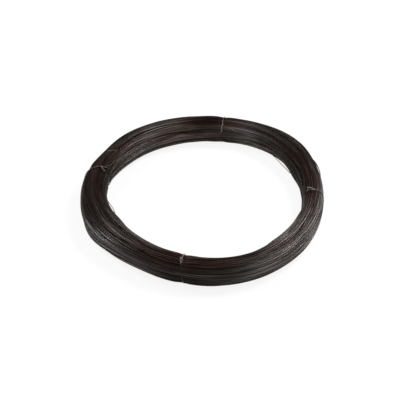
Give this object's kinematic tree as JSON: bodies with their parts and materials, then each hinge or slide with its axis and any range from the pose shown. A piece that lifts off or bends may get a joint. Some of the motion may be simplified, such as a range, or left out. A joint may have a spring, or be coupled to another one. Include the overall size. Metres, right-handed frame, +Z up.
{
  "type": "coil of black annealed wire",
  "caption": "Flat-lying round coil of dark annealed steel wire, bundled in parallel turns and held by twisted wire ties at four places round the ring.",
  "frame": {"origin": "centre of the coil's underside, on the floor", "axes": "+Z up along the coil's own axis, out of its bore; +X to the right as the picture shows it, +Y away from the viewer"},
  "size_m": [0.45, 0.45, 0.0549],
  "materials": {
    "annealed_wire": "black annealed oxide scale, soft satin sheen",
    "tie_wire": "black annealed oxide scale, rubbed grey where it was twisted"
  },
  "bodies": {
    "root": {"coil": "annealed_wire", "tie_rear": "tie_wire", "tie_left": "tie_wire", "tie_front": "tie_wire", "tie_right": "tie_wire"}
  },
  "joints": []
}
